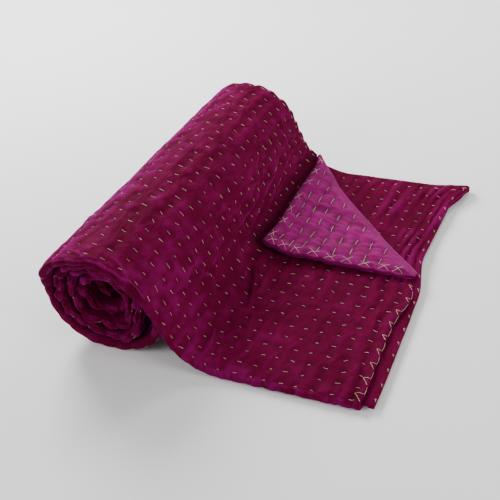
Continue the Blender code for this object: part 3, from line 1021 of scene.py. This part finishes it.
def cottonRelief():
    # the rows hold it down, and between them it puffs and wrinkles
    y = joined["y"][:, : blocks["top"]["first"]]
    fromEdge = strip["corner"] - rowAlong[:, None] + 0 * y
    length = y - cornerEdge
    rowsAway = (fromEdge - cottonPanel["firstRow"]) / cottonPanel["rowGap"]
    between, row = lobes(rowsAway, 0.8), nearest(rowsAway, cottonPanel["rows"])
    number = nearest((length - panelPhase[row]) / cottonPanel["pitch"], cottonPanel["most"])
    centre, size, sewn = panelStitch(row, number)
    off = np.hypot(np.maximum(np.abs(length - centre) - 0.3 * size, 0), fromEdge - panelRows[row])
    held = hump(off, 0, cottonPanel["held"]) * (0.25 + 0.75 * sewn)
    drift = np.interp(fromEdge, panelRows, panelPhase)
    puff = between * (0.50 + 0.50 * lobes((length - drift) / cottonPanel["pitch"], 0.85))
    wrinkle = wander(length * 64 + 5 * fromEdge, fromEdge * 24, 4.4) + 0.45
    wrinkle = wrinkle - 1.5 * np.abs(wander(length * 92, fromEdge * 26, 8.8))
    inside = smooth(0, 0.008, fromEdge) * smooth(0, 0.006, length) * smooth(-0.002, 0.016, foldPlace[:, None] - y)
    height = cottonPanel["puff"] * puff * (1 - 0.7 * held) + cottonPanel["wrinkle"] * wrinkle * (0.4 + 0.6 * between)
    # painted light for the cotton: low, for painted shade, in the wrinkles' valleys, between puffs and where the
    # stitches hold it down
    paintedLight = 0.5 + 0.5 * np.tanh((1.3 * (puff - 0.36) + 1.0 * wrinkle - 0.9 * held) * inside)
    return np.maximum(height + cottonPanel["least"], 0) * inside, paintedLight


def cottonPanelPiece():
    last = blocks["flapBend"]["first"] + cottonPanel["pastFold"]
    cells = [(row, column) for row in range(1, cornerRow) for column in range(cottonPanel["inset"], last)]
    faces = [[(r - 1, c + 1), (r - 1, c), (r, c), (r, c + 1)] for r, c in cells]
    height, paintedLight = np.zeros(middleGrid.shape[:2]), np.full(middleGrid.shape[:2], 0.5)
    flap = slice(0, blocks["top"]["first"])
    height[:, flap], paintedLight[:, flap] = cottonRelief()
    low = backGrid - normalGrid * cottonPanel["gap"]
    high = backGrid - normalGrid * (cottonPanel["gap"] + cottonPanel["thick"] + height)[..., None]
    return closedSheet("cottonPanel", low, high, faces, faces, cottonPanel["rim"], paintedLight, [cotton] * 3), high


cottonBack, cottonTop = cottonPanelPiece()
print("cotton back", len(cottonBack.data.polygons), "faces")


# sewing
def readGrid(surface, row, column):
    # a point between four points of a surface grid
    row, column = (np.clip(at, 0, size - 1.001) for at, size in zip((row, column), surface.shape))
    r, c = np.floor(row).astype(int), np.floor(column).astype(int)
    u, v = (row - r)[..., None], (column - c)[..., None]
    near, far = (surface[r, k] * (1 - u) + surface[r + 1, k] * u for k in (c, c + 1))
    return near * (1 - v) + far * v


def rowAt(along):
    return np.interp(along, rowAlong, np.arange(len(rowAlong)))


def onLayer(name, along, y, lift):
    # world places on a layer's velvet side, by place along the strip and distance from the near edge
    b, row = blocks[name], rowAt(along)
    first, last = (np.interp(row, np.arange(len(rowAlong)), b["y"][:, side]) for side in (0, -1))
    column = b["first"] + np.clip((y - first) / (last - first), 0, 1) * (b["count"] - 1)
    column = np.minimum(column, b["first"] + b["count"] - 1.01)
    return readGrid(frontGrid, row, column) + readGrid(normalGrid, row, column) * lift[:, None]


def onCotton(length, fromEdge, lift):
    # the same on the turned corner's cotton side, by distances from its two stitched edges
    known = blocks["flap"]["y"]
    row = np.minimum(rowAt(strip["corner"] - fromEdge + 0 * length), cornerRow - 0.01)
    low = np.floor(row).astype(int)
    lines = known[low] + (known[low + 1] - known[low]) * (row - low)[..., None]
    places = zip(cornerEdge + length + 0 * row, lines)
    column = np.array([np.interp(y, line, np.arange(line.size)) for y, line in places])
    return readGrid(cottonTop, row, column) - readGrid(normalGrid, row, column) * lift[:, None]


stitchShape = np.array([-0.5, -0.36, 0.0, 0.36, 0.5])
stitchLift = np.array([-0.0006, 0.0004, 0.0006, 0.0004, -0.0006])


def runningStitches():
    lines = []
    for row in range(rowCount):
        y, folded = strip["width"] - rowEdge[row], strip["corner"] - rowEdge[row]
        first = max(0.010, folded + 0.012) if folded > 0 else 0.010
        ranges = ((first, alongAt(0.9)), (0.008, 0.29 if y > 0.19 else 0.03), (0.008, 0.36))
        for layer, (first, last) in zip(layers, ranges):
            for centre, size, skew in zip(*stitchPlaces(layer, row, first, last)):
                lines.append(onLayer(layer, centre + stitchShape * size, y + skew * stitchShape * 2, stitchLift))
    return lines


def lipStitches():
    # the stitches of the outermost row that show on the rolled near end
    lines = []
    drawLip = np.random.default_rng(3)
    first, last = (int(alongAt(turns) / quilting["pitch"]) for turns in (0.42, 3.2))
    for number in range(first, last):
        centre = rowPhase["top"][-1] + quilting["pitch"] * (number + 0.5)
        if number % 3 == 2 and np.interp(centre, pathAlong[isWound], pathTurns[isWound]) > 1:
            continue
        row = rowAt(centre + stitchShape * drawLip.uniform(0.0034, 0.0052))
        column = blocks["nearBend"]["first"] + drawLip.uniform(1.5, 3.5) + 0 * row
        lines.append(readGrid(frontGrid, row, column) + readGrid(normalGrid, row, column) * stitchLift[:, None])
    return lines


def backStitches():
    # on the cotton side each row's thread shows long
    lines = []
    for row, fromEdge in enumerate(panelRows):
        for number in range(cottonPanel["most"]):
            centre, size, sewn = panelStitch(row, number)
            if sewn:
                bend = 0.0008 * panelJitter[0][row, number - 1]
                lines.append(onCotton(centre + stitchShape * size, fromEdge + bend * stitchShape, stitchLift))
    return lines


def edgeStitches():
    # herringbone along the cut edges: open V's on the velvet, crosses on the cotton
    lines = []
    draw = np.random.default_rng(5)
    pitch, reach, width = sewing["edgePitch"], sewing["edgeReach"], sewing["edgeWidth"]
    share = np.linspace(0, 1, 4)
    lift = np.array([0.0002, 0.0006, 0.0006, 0.0004])
    rimLift = np.array([0, 0.0009, 0.0011, 0.0012, 0.0011, 0.0009, 0])
    seam = frontGrid * 0.75 + backGrid * 0.25

    def arms(surface, *corners):
        # straight threads from corner to corner
        for a, b in zip(corners, corners[1:]):
            lines.append(surface(*(a[i] + (b[i] - a[i]) * share for i in (0, 1)), lift))

    def onVelvet(layer):
        return lambda along, y, up: onLayer(layer, along, y, up)

    def alongCut(low, high):
        # thread that lies along the top third's cut end
        b = blocks["top"]
        places = (np.linspace(low, high, len(rimLift)) - b["y"][0, 0]) / (b["y"][0, -1] - b["y"][0, 0])
        at = b["first"] + np.clip(places * (b["count"] - 1), 0, b["count"] - 1.01)
        edge = readGrid(seam, 0 * at, at)
        out = edge - readGrid(seam, 0 * at + 2, at)
        return edge + out / np.linalg.norm(out, axis=-1, keepdims=True) * rimLift[:, None]

    def cross(ends):
        # two threads that cross, given by how far their ends lie in from the edge and to each side of the middle
        for side in (-1, 1):
            arms(onCotton, *ends(side))

    for layer, stop in (("top", cornerEdge + 0.006), ("middle", 0.492), ("bottom", 0.478)):
        for place in np.arange(0.020, stop, pitch):
            y = place + draw.normal(0, 0.0012)
            onTop = layer == "top"
            fullness = 0.66 + 0.45 * smooth(0.13, 0.03, place) if onTop else 0.3 + 0.3 * smooth(0.46, 0.48, place)
            deep = reach * fullness * draw.uniform(0.85, 1.2)
            foot = y - width * fullness * 0.85
            arms(onVelvet(layer), (0.0002, y), (deep, y + 0.0012), (0.0004, foot))
            if onTop and place + pitch < stop:
                lines.append(alongCut(y, foot + pitch))
    for place in np.arange(strip["corner"] + 0.02, alongAt(0.85), pitch * 0.85):
        edge, foot = np.interp(place, rowAlong, farPlace), width * 0.25
        sides = [(place + side * foot, edge - 0.0004) for side in (-1, 1)]
        arms(onVelvet("top"), sides[0], (place, edge - reach * 0.45), sides[1])
    for place in np.arange(0.013, strip["corner"] - 0.016, pitch):
        deep, at = reach * draw.uniform(0.9, 1.2), place + draw.normal(0, 0.0015)
        cross(lambda side: ((0.0006, at + side * width * 0.62), (deep, at - side * width * 0.55)))
    for place in np.arange(0.018, strip["corner"] - 0.016, pitch * 1.32):
        deep, at = reach * draw.uniform(0.95, 1.3) * 1.1, place + draw.normal(0, 0.0025)
        cross(lambda side: ((at + side * width * 0.58, 0.0010), (at - side * width * 0.5, deep)))
    return lines


def threadTree():
    # swells every line of a mesh into a round thread
    inputs = (("Geometry", "Geometry"), ("Radius", "Float"), ("Sides", "Int"), ("Material", "Material"))
    tree, given = newTree("threadAlongPath", "GeometryNodeTree", inputs, (("Geometry", "Geometry"),))
    curve = addNode(tree, "GeometryNodeMeshToCurve", {"Mesh": given["Geometry"]})
    circle = {"Resolution": given["Sides"], "Radius": given["Radius"]}
    profile = addNode(tree, "GeometryNodeCurvePrimitiveCircle", circle)
    sweep = {"Curve": curve.outputs["Curve"], "Profile Curve": profile.outputs["Curve"], "Fill Caps": True}
    shape = addNode(tree, "GeometryNodeCurveToMesh", sweep).outputs["Mesh"]
    for kind in ("SetShadeSmooth", "RealizeInstances"):
        shape = addNode(tree, "GeometryNode" + kind, {"Geometry": shape}).outputs["Geometry"]
    paint = addNode(tree, "GeometryNodeSetMaterial", {"Geometry": shape, "Material": given["Material"]})
    addNode(tree, "NodeGroupOutput", {"Geometry": paint.outputs["Geometry"]})
    return tree


threads = threadTree()


def sewnPiece(name, lines, radius):
    lines = [line for line in lines if np.isfinite(line).all()]
    points, links = [], []
    for line in lines:
        line[:, 2] = np.maximum(line[:, 2], strip["floorGap"] + radius)
        links += [(len(points) + i, len(points) + i + 1) for i in range(len(line) - 1)]
        points += line.tolist()
    guide = bpy.data.meshes.new(name + "Guide")
    guide.from_pydata(points, links, [])
    maker = addObject(name + "Guide", guide)
    modifier = maker.modifiers.new("thread", "NODES")
    modifier.node_group = threads
    values = {"Radius": radius, "Sides": sewing["sides"], "Material": thread}
    for item in threads.interface.items_tree:
        if item.in_out == "INPUT" and item.name in values:
            modifier[item.identifier] = values[item.name]
    mesh = bpy.data.meshes.new_from_object(maker.evaluated_get(bpy.context.evaluated_depsgraph_get()))
    mesh.name = name
    bpy.data.objects.remove(maker)
    print(name, len(lines), "stitches", len(mesh.polygons), "faces")
    return addObject(name, mesh)


runningSewn = sewnPiece("runningStitches", runningStitches() + lipStitches(), sewing["radius"])
backSewn = sewnPiece("backStitches", backStitches(), sewing["radius"])
edgeSewn = sewnPiece("edgeStitches", edgeStitches(), sewing["radius"] * sewing["edgeRadius"])

# what moves with what
for piece in (quilt, cottonBack, runningSewn, backSewn, edgeSewn):
    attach(piece, "root")
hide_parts("quilt")
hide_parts("cotton_back")

# floor and light
studio = {
    "floorColour": (0.93, 0.93, 0.935, 1),
    "floorRoughness": 0.9,
    "floorReach": 6,
    "aim": (0, 0, 0.05),
    "lamps": {  # place, width, watts
        "key": ((-1.10, 0.78, 1.05), 0.8, 47.0),
        "back": ((0.25, 1.15, 0.85), 0.5, 9.0),
        "fill": ((1.90, -0.35, 0.68), 0.7, 29.5),
        "side": ((-0.9, -1.2, 1.0), 0.8, 12.0),
    },
    "sky": {"Color": (1, 1, 1, 1), "Strength": 0.28},
}


def addFloor():
    mesh, far = bpy.data.meshes.new("floor"), studio["floorReach"]
    mesh.from_pydata([(-far, -far, 0), (far, -far, 0), (far, far, 0), (-far, far, 0)], [], [(0, 1, 2, 3)])
    material, _, shader = newMaterial("paleFloor")
    setInputs(shader, {"Base Color": studio["floorColour"], "Roughness": studio["floorRoughness"]})
    mesh.materials.append(material)
    addObject("floor", mesh)


def addLight(name, place, width, watts):
    data = bpy.data.lights.new(name, "AREA")
    data.energy, data.size = watts, width
    lamp = addObject(name, data)
    lamp.location = place
    lamp.rotation_euler = (Vector(studio["aim"]) - Vector(place)).to_track_quat("-Z", "Y").to_euler()


addFloor()
for lampName, lampValues in studio["lamps"].items():
    addLight(lampName, *lampValues)
world = bpy.data.worlds.new("studio")
world.use_nodes = True
setInputs(world.node_tree.nodes["Background"], studio["sky"])
bpy.context.scene.world = world
print("lit")
